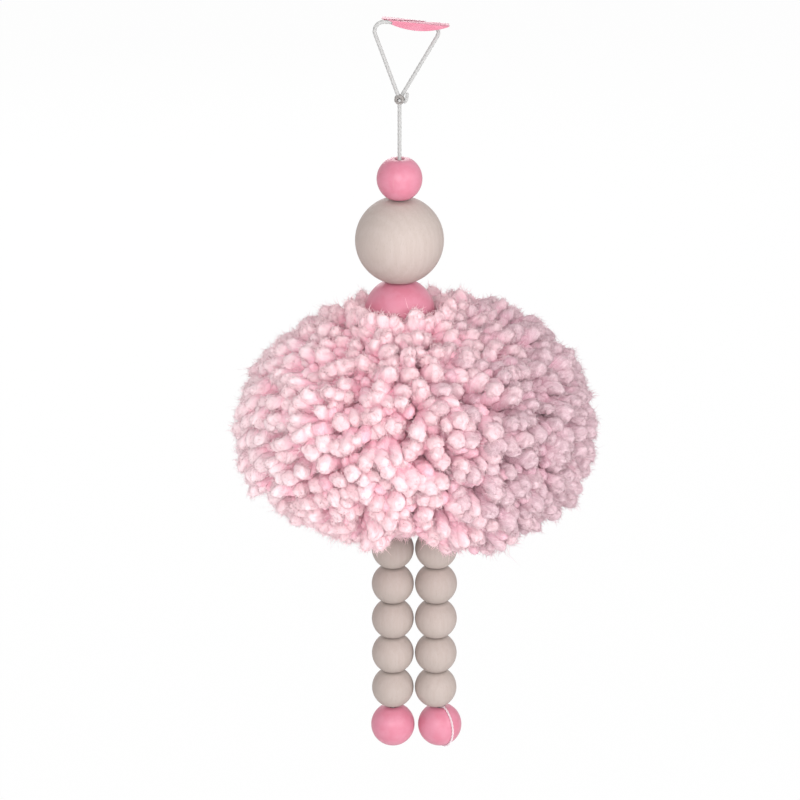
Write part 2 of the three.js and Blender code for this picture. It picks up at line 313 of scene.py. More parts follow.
finishes = {
    "natural_wood": makeBeech(),
    "pink_paint": makePaint(),
    "pale_cord": makeTwist("pale_twisted_cord", cordLook, 0.16 * mm),
    "shaded_knot_cord": makeTwist("shaded_knot_cord", knotShadeLook, 0.16 * mm),
    "white_thread": makeTwist("white_thread", threadLook, 0.1 * mm),
    "pink_yarn": makeYarn("pink_yarn", streaks=0.4, relief=0.9),
    "yarn_fibres": makeYarn("pink_yarn_fibres", streaks=0.25, relief=0),
}
print("finishes made")


# Mesh helpers
def makeMesh(name, points, corners, sizes, finish, values, spread=None):
    mesh = bpy.data.meshes.new(name)
    mesh.vertices.add(len(points))
    mesh.vertices.foreach_set("co", np.asarray(points, np.float32).ravel())
    mesh.loops.add(len(corners))
    mesh.loops.foreach_set("vertex_index", np.asarray(corners, np.int32))
    mesh.polygons.add(len(sizes))
    starts = np.concatenate([[0], np.cumsum(sizes)[:-1]])
    mesh.polygons.foreach_set("loop_start", starts.astype(np.int32))
    mesh.polygons.foreach_set("use_smooth", np.full(len(sizes), True))
    mesh.update(calc_edges=True)
    for label, data in values.items():
        data = np.asarray(data, np.float32)
        kind, field = ("FLOAT", "value") if data.ndim == 1 else ("FLOAT_VECTOR", "vector")
        mesh.attributes.new(label, kind, "POINT").data.foreach_set(field, data.ravel())
    if spread is not None:
        mesh.uv_layers.new(name="OFBake").data.foreach_set("uv", spread.astype(np.float32).ravel())
    mesh.materials.append(finish)
    piece = bpy.data.objects.new(name, mesh)
    bpy.context.scene.collection.objects.link(piece)
    return piece

# Stands a piece in for a solid: same body
def dress(piece, node):
    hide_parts(node)
    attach(piece, bodyOf[node])

def nodePoints(node):
    mesh = frame["nodes"][node].data
    points = np.empty(len(mesh.vertices) * 3)
    mesh.vertices.foreach_get("co", points)
    return points.reshape(-1, 3)

def nodeMiddle(node):
    low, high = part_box(node)
    return (np.array(low) + np.array(high)) / 2

def unit(vectors):
    return vectors / np.linalg.norm(vectors, axis=-1, keepdims=True)

# For each direction an axis that isn't near it
def awayAxis(directions):
    steep = np.abs(directions[..., 2:]) >= 0.8
    return np.where(steep, np.array([1.0, 0, 0]), np.array([0.0, 0, 1]))

def spokesRound(around, first, second):
    return np.cos(around)[:, None] * first[..., None, :] + np.sin(around)[:, None] * second[..., None, :]

def roundAngles(count):
    return np.linspace(0, 2 * math.pi, count, endpoint=False)

def eased(share):
    return share * share * (3 - 2 * share)


# Corner list and bake cells of one tube: rings of sides, closed by a point at each end
def tubeTemplate(ringCount, sides):
    corners, sizes, spread = [], [], []
    for ring in range(ringCount - 1):
        for side in range(sides):
            after = (side + 1) % sides
            corners += [ring * sides + side, ring * sides + after]
            corners += [(ring + 1) * sides + after, (ring + 1) * sides + side]
            left, right = side / sides, (side + 1) / sides
            low, high = (ring + 1) / (ringCount + 1), (ring + 2) / (ringCount + 1)
            spread += [(left, low), (right, low), (right, high), (left, high)]
            sizes.append(4)
    last = (ringCount - 1) * sides
    for side in range(sides):
        after = (side + 1) % sides
        low, high = 1 / (ringCount + 1), ringCount / (ringCount + 1)
        corners += [ringCount * sides, after, side]
        spread += [(0.5, 0), ((side + 1) / sides, low), (side / sides, low)]
        corners += [ringCount * sides + 1, last + side, last + after]
        spread += [(0.5, 1), (side / sides, high), ((side + 1) / sides, high)]
        sizes += [3, 3]
    return np.array(corners), np.array(sizes), np.array(spread)

# Share of its bake cell that a tube leaves free on each side
bakeMargin = 0.06

# Many closed tubes in one piece. rings is tube, ring, side, place
def makeTubes(name, rings, starts, ends, finish, values):
    count, ringCount, sides = rings.shape[:3]
    points = np.concatenate([rings.reshape(count, -1, 3), starts[:, None], ends[:, None]], axis=1)
    corners, sizes, spread = tubeTemplate(ringCount, sides)
    shift = np.arange(count)[:, None] * points.shape[1]
    columns = math.ceil(math.sqrt(count))
    cell = np.stack([np.arange(count) % columns, np.arange(count) // columns], axis=1)
    cells = (cell[:, None] + bakeMargin + (1 - 2 * bakeMargin) * spread[None]) / columns
    flat = {label: data.reshape(-1, *data.shape[2:]) for label, data in values.items()}
    return makeMesh(
        name, points.reshape(-1, 3), (corners[None] + shift).ravel(),
        np.tile(sizes, count), finish, flat, cells.reshape(-1, 2),
    )

# A tube's end points take the values of its first and last ring
def withEnds(values):
    return np.concatenate([values, values[:, :1], values[:, -1:]], axis=1)

# Side vectors that don't turn about the line as it bends
def carryFrame(points):
    ahead = unit(np.gradient(points, axis=0))
    helper = np.eye(3)[np.argmin(np.abs(ahead[0]))]
    side = unit(np.cross(ahead[0], helper))
    sides = []
    for direction in ahead:
        side = unit(side - direction * np.dot(side, direction))
        sides.append(side)
    sides = np.array(sides)
    return ahead, sides, np.cross(ahead, sides)

# The same points spaced evenly along the line
def evenly(points, step):
    points = np.asarray(points, float)
    gone = np.concatenate([[0], np.cumsum(np.linalg.norm(np.diff(points, axis=0), axis=1))])
    count = max(4, round(gone[-1] / step) + 1)
    marks = np.linspace(0, gone[-1], count)
    return np.stack([np.interp(marks, gone, points[:, axis]) for axis in range(3)], axis=1), marks

def slide(first, second, place, low, high):
    return first + (second - first) * (place - low) / (high - low)

# A smooth line through the points, as the solids' own cords have
def smoothLine(points, between=14):
    points = np.asarray(points, float)
    ends = [2 * points[0] - points[1]], [2 * points[-1] - points[-2]]
    points = np.concatenate([ends[0], points, ends[1]])
    line = []
    for a, b, c, d in zip(points, points[1:], points[2:], points[3:]):
        gaps = [max(np.linalg.norm(q - p), 1e-9) ** 0.5 for p, q in ((a, b), (b, c), (c, d))]
        i, j, k, m = np.cumsum([0] + gaps)
        for t in np.linspace(j, k, between, endpoint=False):
            ab, bc, cd = slide(a, b, t, i, j), slide(b, c, t, j, k), slide(c, d, t, k, m)
            line.append(slide(slide(ab, bc, t, i, k), slide(bc, cd, t, j, m), t, j, k))
    line.append(points[-2])
    return np.array(line)


# Twisted cord: plies wound round each other along a line. Sizes are shares of the cord's own
twisting = {"lay": 3.4, "steps": 12, "plyRadius": {2: 0.34, 3: 0.37}, "plyApart": 7.0, "cone": 0.35}

def makeCord(name, line, diameter, finish, plies=3, sides=8):
    lay = twisting["lay"] * diameter
    points, marks = evenly(line, lay / twisting["steps"])
    ahead, side, over = carryFrame(points)
    plyRadius = diameter * twisting["plyRadius"][plies]
    armLength = diameter / 2 - plyRadius
    rings, places, depths = [], [], []
    around = roundAngles(sides)
    for ply in range(plies):
        turn = 2 * math.pi * (marks / lay + ply / plies)
        arm = np.cos(turn)[:, None] * side + np.sin(turn)[:, None] * over
        across = np.cross(ahead, arm)
        middle = points + armLength * arm
        rings.append(middle[:, None] + plyRadius * spokesRound(around, arm, across))
        offset = twisting["plyApart"] * ply * diameter
        place = np.stack(np.broadcast_arrays(
            (offset + plyRadius * np.cos(around))[None],
            (plyRadius * np.sin(around))[None],
            marks[:, None],
        ), axis=-1)
        places.append(place)
        depths.append(np.broadcast_to((1 - np.cos(around)) / 2, rings[-1].shape[:2]))
    rings = np.array(rings)
    starts = rings[:, 0].mean(axis=1) - ahead[0] * plyRadius * twisting["cone"]
    ends = rings[:, -1].mean(axis=1) + ahead[-1] * plyRadius * twisting["cone"]
    places = withEnds(np.array(places).reshape(plies, -1, 3))
    depths = withEnds(np.array(depths).reshape(plies, -1))
    return makeTubes(name, rings, starts, ends, finish, {"layPlace": places, "creaseShadeDepth": depths})


# Hanging loop: the corners and knot of the solids, in metres, with exact round bends
loop = {
    "diameter": 1.4 * mm,
    "corners": [np.array([-9.6, -3.2, 0.25]) * mm, np.array([14.8, 3.2, -2.49]) * mm],
    "bend": 2.9 * mm,
    "bendSteps": 25,
    "reach": 2.2 * mm,
    "intoKnot": 0.9 * mm,
}

def bendPoints(before, corner, after, radius):
    back, onward = unit(before - corner), unit(after - corner)
    half = math.acos(np.dot(back, onward)) / 2
    centre = corner + unit(back + onward) * radius / math.sin(half)
    arm = corner + back * radius / math.tan(half) - centre
    angles = np.linspace(0, math.pi - 2 * half, loop["bendSteps"])[:, None]
    return centre + arm * np.cos(angles) - back * radius * np.sin(angles)

def loopLine():
    left, right = loop["corners"]
    knot = nodeMiddle("loop_knot")
    fromKnot = loop["reach"] - loop["intoKnot"]
    return np.concatenate([
        [knot + unit(left - knot) * fromKnot],
        bendPoints(knot, left, right, loop["bend"]),
        bendPoints(left, right, knot, loop["bend"]),
        [knot + unit(right - knot) * fromKnot],
    ])

def addLoop():
    line = loopLine()
    piece = makeCord("hanging_loop_cord", line, loop["diameter"], finishes["pale_cord"])
    dress(piece, "hanging_loop")

addLoop()


# Knots: two tight turns with a cut tail under the loop, and an overhand knot under the tutu
knots = {
    "cord": 1.25 * mm,
    "turns": 2.2,
    "radius": 1.2 * mm,
    "drawnIn": 0.25,
    "depth": 1.1 * mm,
    "coilSteps": 97,
    "core": 1.0 * mm,
    "corePast": 0.8 * mm,
    "tailShare": 0.92,
    "tail": np.array([
        (1.5, -0.9, -0.7), (2.1, -1.15, -0.2), (2.4, -1.25, 0.6), (2.5, -1.3, 1.5), (2.5, -1.35, 2.5),
    ]) * mm,
    "overhandDepth": 1.6,
    "overhandSteps": 121,
}

def coil(middle):
    t = np.linspace(-math.pi, math.pi, knots["coilSteps"])
    turn = knots["turns"] * t
    ring = knots["radius"] * (1 - knots["drawnIn"] * (t / math.pi) ** 4)
    deep = knots["depth"] * t / math.pi
    return middle + np.stack([ring * np.cos(turn), deep, ring * np.sin(turn)], axis=1)

def overhand(middle, size):
    t = np.linspace(0, 2 * math.pi, knots["overhandSteps"])
    across = np.sin(t) + 2 * np.sin(2 * t)
    deep = -knots["overhandDepth"] * np.sin(3 * t)
    upright = np.cos(t) - 2 * np.cos(2 * t)
    return middle + size * np.stack([across, deep, upright], axis=1)

# A piece of the loop knot that no solid stands for
def addKnotEnd(name, line, diameter):
    piece = makeCord(name, line, diameter, finishes["pale_cord"])
    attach(piece, "knot")

def addLoopKnot():
    middle = nodeMiddle("loop_knot")
    # The knot's turns take the darker cord colour, painted shade
    piece = makeCord("loop_knot_turns", coil(middle), knots["cord"], finishes["shaded_knot_cord"])
    dress(piece, "loop_knot")
    through = np.array([0, knots["depth"] + knots["corePast"], 0])
    addKnotEnd("loop_knot_core", [middle - through, middle + through], knots["core"])
    tail = smoothLine(middle + knots["tail"])
    addKnotEnd("loop_knot_tail", tail, knots["cord"] * knots["tailShare"])

def addWaistKnot():
    middle = nodeMiddle("waist_knot")
    size = (np.ptp(nodePoints("waist_knot")[:, 2]) / 2 - loop["diameter"] / 2) / 3
    line = overhand(middle, size)
    piece = makeCord("waist_knot_turns", line, loop["diameter"], finishes["pale_cord"])
    dress(piece, "waist_knot")

addLoopKnot()
addWaistKnot()


# Straight cords inside the beads and the tutu, each along its own solid
def cordEnds(node):
    points = nodePoints(node)
    middle = points.mean(axis=0)
    axis = np.linalg.svd(points - middle, full_matrices=False)[2][0]
    gone = (points - middle) @ axis
    near = 0.05 * mm
    last = points[gone > gone.max() - near].mean(axis=0)
    first = points[gone < gone.min() + near].mean(axis=0)
    return sorted([last, first], key=lambda point: -point[2])

def addStraightCords():
    for node in frame["nodes"]:
        if not node.endswith(("_strand", "_cord")) and "_leg_cord_" not in node:
            continue
        top, bottom = cordEnds(node)
        if node == "body_cord":
            top = top + np.array([0, 0, loop["intoKnot"]])
        piece = makeCord(f"{node}_twist", [top, bottom], loop["diameter"], finishes["pale_cord"], sides=7)
        dress(piece, node)

# Two turns of cord draw in the middle of the tutu
tieTurns = {"turns": 2, "steps": 97, "rise": 0.5}

def addTie():
    middle = nodeMiddle("tutu_tie")
    low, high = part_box("tutu_tie")
    radius = (high[0] - low[0] - loop["diameter"]) / 2
    t = np.linspace(0, 2 * math.pi * tieTurns["turns"], tieTurns["steps"])
    rise = loop["diameter"] * tieTurns["rise"] * np.linspace(-1, 1, len(t))
    line = middle + np.stack([radius * np.cos(t), radius * np.sin(t), rise], axis=1)
    piece = makeCord("tutu_tie_turns", line, loop["diameter"], finishes["pale_cord"])
    dress(piece, "tutu_tie")

addStraightCords()
addTie()
print("cords laid")


# Turned beads: ball, softened rims, rounded mouths and a bore
beads = {
    "bore": 3.2 * mm,
    "mouthRound": 0.4 * mm,
    "rimRound": 0.5 * mm,
    "wearReach": 0.9 * mm,
    "mouthSteps": 4,
    "wallSteps": 7,
    "diameters": {"bun": 15.4 * mm, "head": 30 * mm, "torso": 24 * mm, "leg": 14.7 * mm, "foot": 15.4 * mm},
    "sides": {"bun": 72, "head": 96, "torso": 84, "leg": 64, "foot": 72},
    "arcSteps": {"bun": 45, "head": 65, "torso": 55, "leg": 41, "foot": 45},
    # Each bead's darkening: a small random tone, and on the legs painted shade under the tutu
    "tonesAndShade": {"head": (0.0, 0.05), "leg": (0.22, 0.46)},
    "grainOffset": (0.02, 0.4),
}

def beadProfile(diameter, length, arcSteps):
    radius, half, bore = diameter / 2, length / 2, beads["bore"] / 2
    mouth, rim = beads["mouthRound"], beads["rimRound"]
    widest = math.acos((bore + mouth) / radius)
    angles = np.linspace(-widest, widest, arcSteps)
    height = radius * np.sin(angles)
    past = np.maximum(np.abs(height) - (half - rim), 0)
    soft = np.where(past > 0, half - rim + rim * (1 - np.exp(-past / rim)), np.abs(height))
    outside = np.stack([radius * np.cos(angles), np.sign(height) * soft], axis=1)
    top = outside[-1, 1]
    turns = np.linspace(0, math.pi / 2, beads["mouthSteps"] + 1)[1:]
    upper = np.stack([bore + mouth * (1 - np.sin(turns)), top - mouth * (1 - np.cos(turns))], axis=1)
    inside = upper[-1, 1]
    wallHeight = np.linspace(inside, -inside, beads["wallSteps"] + 2)[1:-1]
    wall = np.stack([np.full(beads["wallSteps"], bore), wallHeight], axis=1)
    lower = upper[::-1] * np.array([1, -1])
    return np.concatenate([outside, upper, wall, lower])

def turnBead(name, node, kind, finish):
    low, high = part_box(node)
    middle = nodeMiddle(node)
    diameter = beads["diameters"][kind]
    sides = beads["sides"][kind]
    profile = beadProfile(diameter, high[2] - low[2], beads["arcSteps"][kind])
    turns = roundAngles(sides)
    radius, height = profile[:, 0], profile[:, 1]
    points = np.stack(np.broadcast_arrays(
        radius[:, None] * np.cos(turns), radius[:, None] * np.sin(turns), height[:, None],
    ), axis=-1).reshape(-1, 3)
    row, column = np.meshgrid(np.arange(len(profile)), np.arange(sides), indexing="ij")
    nextRow, nextColumn = (row + 1) % len(profile), (column + 1) % sides
    corners = np.stack([
        row * sides + column, row * sides + nextColumn,
        nextRow * sides + nextColumn, nextRow * sides + column,
    ], axis=-1)
    spin = chance.uniform(0, 2 * math.pi)
    cos, sin = math.cos(spin), math.sin(spin)
    turn = np.array([[cos, -sin, 0], [sin, cos, 0], [0, 0, 1]])
    grainPlace = points @ turn.T + chance.uniform(*beads["grainOffset"], 3)
    fromMouth = np.hypot(points[:, 0], points[:, 1]) - beads["bore"] / 2
    atEnd = np.abs(points[:, 2]) > (high[2] - low[2]) / 2 - 2 * beads["rimRound"]
    wear = np.clip(1 - fromMouth / beads["wearReach"], 0, 1) * atEnd
    toneShade = chance.uniform(*beads["tonesAndShade"].get(kind, (0, 0)))
    piece = makeMesh(
        name, points + middle, corners.ravel(), np.full(row.size, 4), finishes[finish],
        {"grainPlace": grainPlace, "mouthWear": wear, "woodToneShade": np.full(len(points), toneShade)},
    )
    dress(piece, node)

def addBeads():
    turnBead("bun_ball", "bun_bead", "bun", "pink_paint")
    turnBead("head_ball", "head_bead", "head", "natural_wood")
    turnBead("torso_ball", "torso_bead", "torso", "pink_paint")
    for side in ("left", "right"):
        for number in range(1, 6):
            node = f"{side}_leg_bead_{number}"
            turnBead(f"{side}_leg_ball_{number}", node, "leg", "natural_wood")
        turnBead(f"{side}_foot_ball", f"{side}_foot_bead", "foot", "pink_paint")

addBeads()
print("beads turned")


# Thread over each foot, out of the top of its bore and into the bottom
footThread = {
    "diameter": 0.8 * mm,
    "standOff": 0.3,
    "turn": {"left": math.radians(160), "right": math.radians(35)},
    "first": math.radians(26),
    "last": math.radians(150),
    "arcSteps": 9,
    "between": 8,
}

def addFootThread(side):
    node = f"{side}_foot_bead"
    low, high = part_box(node)
    half = (high[2] - low[2]) / 2
    thick = footThread["diameter"]
    radius = beads["diameters"]["foot"] / 2 + footThread["standOff"] * thick
    bore = beads["bore"] / 2
    # Distance from the bead's axis and height: inside the top, round the ball, inside the bottom
    angles = np.linspace(footThread["first"], footThread["last"], footThread["arcSteps"])
    top = [(0.4 * bore, half - 2 * thick), (0.8 * bore, half)]
    ball = np.stack([radius * np.sin(angles), radius * np.cos(angles)], axis=1)
    bottom = [(bore, -half - 0.5 * thick), (0.3 * bore, -half + 0.5 * thick), (0.2 * bore, -half + 2 * bore)]
    out, up = np.concatenate([top, ball, bottom]).T
    turn = footThread["turn"][side]
    line = np.stack([out * math.sin(turn), -out * math.cos(turn), up], axis=1) + nodeMiddle(node)
    line = smoothLine(line, footThread["between"])
    piece = makeCord(f"{side}_foot_wrap", line, thick, finishes["white_thread"], plies=2, sides=7)
    dress(piece, f"{side}_foot_thread")

addFootThread("left")
addFootThread("right")
print("feet threaded")


# Hanger: a flat-topped wooden segment with eased edges and a groove for the loop
hanger = {
    "length": 22.6 * mm,
    "height": 2.6 * mm,
    "depth": 4.6 * mm,
    "offset": 5.3 * mm,
    "tilt": math.radians(6.4),
    "ease": 0.3 * mm,
    "easeSteps": 3,
    "easedFrom": math.radians(30),
    "smoothTo": math.radians(40),
    "groove": 2.0 * mm,
    "grooveSides": 16,
    "grooveSteps": 4,
    "arcSteps": 48,
    "grainOffset": 0.31,
}

def hangerBlank():
    half, height = hanger["length"] / 2, hanger["height"]
    radius = (half * half + height * height) / (2 * height)
    spread = math.asin(half / radius)
    sweep = np.linspace(-spread, spread, hanger["arcSteps"])
    outline = [(radius * math.sin(a), radius - height - radius * math.cos(a)) for a in sweep]
    shell = bmesh.new()
    front = [shell.verts.new((x, -hanger["depth"] / 2, z)) for x, z in outline]
    shell.faces.new(front)
    moved = bmesh.ops.extrude_face_region(shell, geom=shell.faces[:])
    back = [item for item in moved["geom"] if isinstance(item, bmesh.types.BMVert)]
    bmesh.ops.translate(shell, verts=back, vec=(0, hanger["depth"], 0))
    bmesh.ops.recalc_face_normals(shell, faces=shell.faces[:])
    sharp = [edge for edge in shell.edges if edge.calc_face_angle(0) > hanger["easedFrom"]]
    bmesh.ops.bevel(
        shell, geom=sharp, offset=hanger["ease"], segments=hanger["easeSteps"], profile=0.5,
        affect="EDGES", clamp_overlap=True,
    )
    lean, drop = math.cos(hanger["tilt"]), math.sin(hanger["tilt"])
    fall = hanger["offset"] * math.tan(hanger["tilt"])
    for vert in shell.verts:
        x, y, z = vert.co
        vert.co = (x * lean + z * drop + hanger["offset"], y, z * lean - x * drop - fall)
    mesh = bpy.data.meshes.new("hanger_block")
    shell.to_mesh(mesh)
    shell.free()
    return mesh

def grooveTube():
    points, _ = evenly(loopLine(), hanger["groove"] / hanger["grooveSteps"])
    _, side, over = carryFrame(points)
    around = roundAngles(hanger["grooveSides"])
    rings = (points[:, None] + hanger["groove"] / 2 * spokesRound(around, side, over))[None]
    return makeTubes("groove", rings, points[:1], points[-1:], finishes["pink_paint"], {})

# The chip that the groove frees at the thin tip falls away
def keepLargest(mesh):
    shell = bmesh.new()
    shell.from_mesh(mesh)
    left, groups = set(shell.verts), []
    while left:
        group, edge = set(), [left.pop()]
        while edge:
            vert = edge.pop()
            group.add(vert)
            near = {link.other_vert(vert) for link in vert.link_edges} & left
            left -= near
            edge += list(near)
        groups.append(group)
    groups.sort(key=len)
    for group in groups[:-1]:
        bmesh.ops.delete(shell, geom=list(group), context="VERTS")
    shell.to_mesh(mesh)
    shell.free()

def addHanger():
    piece = bpy.data.objects.new("hanger_block", hangerBlank())
    bpy.context.scene.collection.objects.link(piece)
    groove = grooveTube()
    cut = piece.modifiers.new("groove", "BOOLEAN")
    cut.operation = "DIFFERENCE"
    cut.solver = "EXACT"
    cut.object = groove
    bpy.context.view_layer.update()
    seen = piece.evaluated_get(bpy.context.evaluated_depsgraph_get())
    done = bpy.data.meshes.new_from_object(seen)
    piece.modifiers.clear()
    piece.data = done
    bpy.data.objects.remove(groove)
    keepLargest(done)
    done.materials.clear()
    done.materials.append(finishes["pink_paint"])
    done.shade_smooth()
    done.set_sharp_from_angle(angle=hanger["smoothTo"])
    points = np.empty(len(done.vertices) * 3, np.float32)
    done.vertices.foreach_get("co", points)
    place = done.attributes.new("grainPlace", "FLOAT_VECTOR", "POINT")
    along = points.reshape(-1, 3)[:, [2, 1, 0]] + hanger["grainOffset"]
    place.data.foreach_set("vector", np.ascontiguousarray(along, np.float32).ravel())
    done.attributes.new("mouthWear", "FLOAT", "POINT")
    dress(piece, "hanger_toggle")

addHanger()
print("hanger shaped")


# Tutu: thick cut yarn. Every strand is three soft plies with a blunt end and loose fibres
tutu = {
    "layers": {
        "outer": {
            "strands": 1400, "drop": 0, "sides": 14, "pieces": 4, "bloom": 1.0,
            "fibres": 230, "fibrePieces": 10,
        },
        "inner": {
            "strands": 900, "drop": 3.8 * mm, "sides": 9, "pieces": 2, "bloom": 0.3,
            "fibres": 24, "fibrePieces": 1,
        },
    },
    "tipWidth": 5.4 * mm,
    "widths": (0.76, 1.2),
    "rootWidth": 3.6 * mm,
    "rootGap": 5 * mm,
    "startShare": 0.3,
    "shellSteps": 801,
    "turnJitter": 0.06,
    "uneven": 3.0 * mm,
    "sway": 8.0 * mm,
    "lean": 4.0 * mm,
    "comb": 4.4 * mm,
    "combWidth": 11.0 * mm,
    "combWaves": 8,
    "bendShare": 0.66,
    "droop": 3.0 * mm,
    "sagAtBend": 0.5,
    "sagAtTip": 0.4,
    "bodyRings": 12,
    "ringSpacing": 0.6,
    "swellShare": 0.6,
    "capRings": 7,
    "capLength": (0.8, 1.5),
    "capMost": 0.5,
    "capRound": 0.9,
    "plies": 3,
    "plyDepth": 0.38,
    "plyMean": 0.64,
    "plyTurn": 18 * mm,
    "phases": 6.3,
    "lump": 0.085,
    "lumpShare": 0.6,
    "lumpWaves": (1.5 * mm, 0.85 * mm),
    "hollowWave": 6 * mm,
    "rough": 0.02,
    "streakOffset": 0.5,
    "square": 0.42,
    "underside": 38.4 * mm,
    "trim": 0.8 * mm,
    "leastReach": 0.3,
    "axisRoom": 4 * mm,
    "legSlope": 0.42,
    "legReach": 16 * mm,
    "legFront": 10 * mm,
    "torsoRoom": 0.4 * mm,
    "partShare": 0.45,
    "collarRise": 2.0 * mm,
    "collarRadius": 15.0 * mm,
    "collarReach": 13.0 * mm,
    "collarTop": (2.0 * mm, 6.0 * mm),
    "collarSpread": 3 * mm,
    "collarJitter": 0.05,
    "collarBackDrop": 5.5 * mm,
    "elbowShare": 0.95,
    "elbowDrop": 10 * mm,
}

def strandLines(layer):
    low, high = (np.array(corner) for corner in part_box("tutu_yarn"))
    tie = nodeMiddle("tutu_tie")
    torso = nodeMiddle("torso_bead")
    middle = np.array([(low[0] + high[0]) / 2, (low[1] + high[1]) / 2, tie[2]])
    halfWidth, halfHeight = (high[0] - low[0]) / 2, high[2] - tie[2]
    count = layer["strands"]
    steps = np.linspace(-1, 1, tutu["shellSteps"])
    area = np.cumsum(np.sqrt(halfHeight**2 + (halfWidth**2 - halfHeight**2) * steps**2))
    area = (area - area[0]) / (area[-1] - area[0])
    height = np.interp((np.arange(count) + 0.5) / count, area, steps)
    turn = np.arange(count) * math.pi * (3 - math.sqrt(5)) + chance.normal(0, tutu["turnJitter"], count)
    ring = np.sqrt(1 - height**2)
    wide = halfWidth * ring
    shell = np.stack([wide * np.cos(turn), wide * np.sin(turn), halfHeight * height], axis=1)
    # The right side is cut fuller than a ball
    square = 2 + tutu["square"] * np.clip(np.cos(turn), 0, 1) ** 2
    shell *= ((ring**square + np.abs(height) ** square) ** (-1 / square))[:, None]
    short = layer["drop"] + np.abs(chance.normal(0, tutu["uneven"], count))
    tips = middle + shell - unit(shell) * short[:, None]
    roots = tie + np.stack([0 * height, 0 * height, tutu["rootGap"] * np.sign(height)], axis=1)
    # The torso bead presses the yarn round it up into a collar
    away = np.hypot(tips[:, 0] - torso[0], tips[:, 1] - torso[1])
    crowd = np.exp(-(((away - tutu["collarRadius"]) / tutu["collarReach"]) ** 2))
    tips[:, 2] += tutu["collarRise"] * crowd * (height > 0)
    # The underside is trimmed flat, but on a slope in front of the legs
    aside = (tips[:, 0] - middle[0]) / tutu["legReach"]
    lift = tutu["legSlope"] * np.exp(-(aside**2)) * np.maximum(-tips[:, 1] - tutu["legFront"], 0)
    floor = tie[2] - tutu["underside"] + lift + np.abs(chance.normal(0, tutu["trim"], count))
    reach = (floor - roots[:, 2]) / np.minimum(tips[:, 2] - roots[:, 2], -mm)
    reach = np.clip(reach, tutu["leastReach"], 1)
    tips = roots + (tips - roots) * np.where(tips[:, 2] < floor, reach, 1)[:, None]
    starts = roots + (tips - roots) * tutu["startShare"]
    bends, tips = bendStrands(starts, tips, floor)
    parted = partStrands(roots, tips, torso)
    keep = (np.hypot(shell[:, 0], shell[:, 1]) > tutu["axisRoom"]) | (height < 0)
    keep &= ~parted | (layer["drop"] == 0)
    out = evenRound(parted, tips - torso)
    ringRadius = beads["diameters"]["torso"] / 2 + tutu["torsoRoom"] + tutu["tipWidth"] / 2
    spread = ringRadius + chance.uniform(0, tutu["collarSpread"], count)
    rise = chance.uniform(*tutu["collarTop"], count)
    rise -= tutu["collarBackDrop"] * np.clip(out[:, 1], 0, 1)
    collar = torso + np.column_stack([out * spread[:, None], rise])
    elbow = np.column_stack([out * ringRadius * tutu["elbowShare"], np.full(count, -tutu["elbowDrop"])])
    elbow = torso + elbow
    tips = np.where(parted[:, None], collar, tips)
    bends = np.where(parted[:, None], elbow, bends)
    return starts[keep], bends[keep], tips[keep], tie, halfWidth

# Level directions from the torso's axis, evenly spread for the strands that go round it
def evenRound(parted, offset):
    turn = np.arctan2(offset[:, 1], offset[:, 0])
    inOrder = np.flatnonzero(parted)[np.argsort(turn[parted])]
    turn[inOrder] = np.linspace(-math.pi, math.pi, len(inOrder), endpoint=False)
    turn = turn + chance.normal(0, tutu["collarJitter"], len(turn))
    return np.column_stack([np.cos(turn), np.sin(turn)])

# Which strands would run into the torso bead
def partStrands(roots, tips, torso):
    room = beads["diameters"]["torso"] / 2 + tutu["torsoRoom"] + tutu["partShare"] * tutu["tipWidth"]
    line = tips - roots
    length = np.linalg.norm(line, axis=1)
    nearest = np.clip(np.einsum("ij,ij->i", torso - roots, line) / length, 0, length)
    closest = roots + line * (nearest / length)[:, None]
    return np.linalg.norm(closest - torso, axis=1) < room

# Neighbouring strands are combed the same way, in whorls that open no gap
combing = {
    "waves": chance.normal(0, 1 / tutu["combWidth"], (tutu["combWaves"], 3)),
    "phases": chance.uniform(0, 2 * math.pi, tutu["combWaves"]),
}

def combed(tips, ahead):
    slope = np.cos(tips @ combing["waves"].T + combing["phases"]) @ unit(combing["waves"])
    return np.cross(ahead, slope) * tutu["comb"] * math.sqrt(3 / tutu["combWaves"])

def sideways(vectors, ahead):
    return vectors - ahead * np.einsum("ij,ij->i", vectors, ahead)[:, None]

def bendStrands(starts, tips, floor):
    ahead = unit(tips - starts)
    sway = sideways(chance.normal(0, tutu["sway"] / 2, tips.shape), ahead)
    lean = sideways(chance.normal(0, tutu["lean"] / 2, tips.shape) + combed(tips, ahead), ahead)
    outward = np.hypot(ahead[:, 0], ahead[:, 1])
    sag = np.stack([0 * outward, 0 * outward, tutu["droop"] * outward], axis=1)
    bends = starts + (tips - starts) * tutu["bendShare"] + sway + sag * tutu["sagAtBend"]
    tips = tips + lean - sag * tutu["sagAtTip"]
    tips[:, 2] = np.maximum(tips[:, 2], floor)
    bends[:, 2] = np.maximum(bends[:, 2], floor)
    return bends, tips

def alongStrand(starts, bends, tips, share):
    point = (1 - share) ** 2 * starts + 2 * share * (1 - share) * bends + share**2 * tips
    ahead = unit((1 - share) * (bends - starts) + share * (tips - bends))
    whole = unit(tips - starts)
    side = unit(np.cross(ahead, np.cross(whole, awayAxis(whole))))
    return point, ahead, side, np.cross(ahead, side)

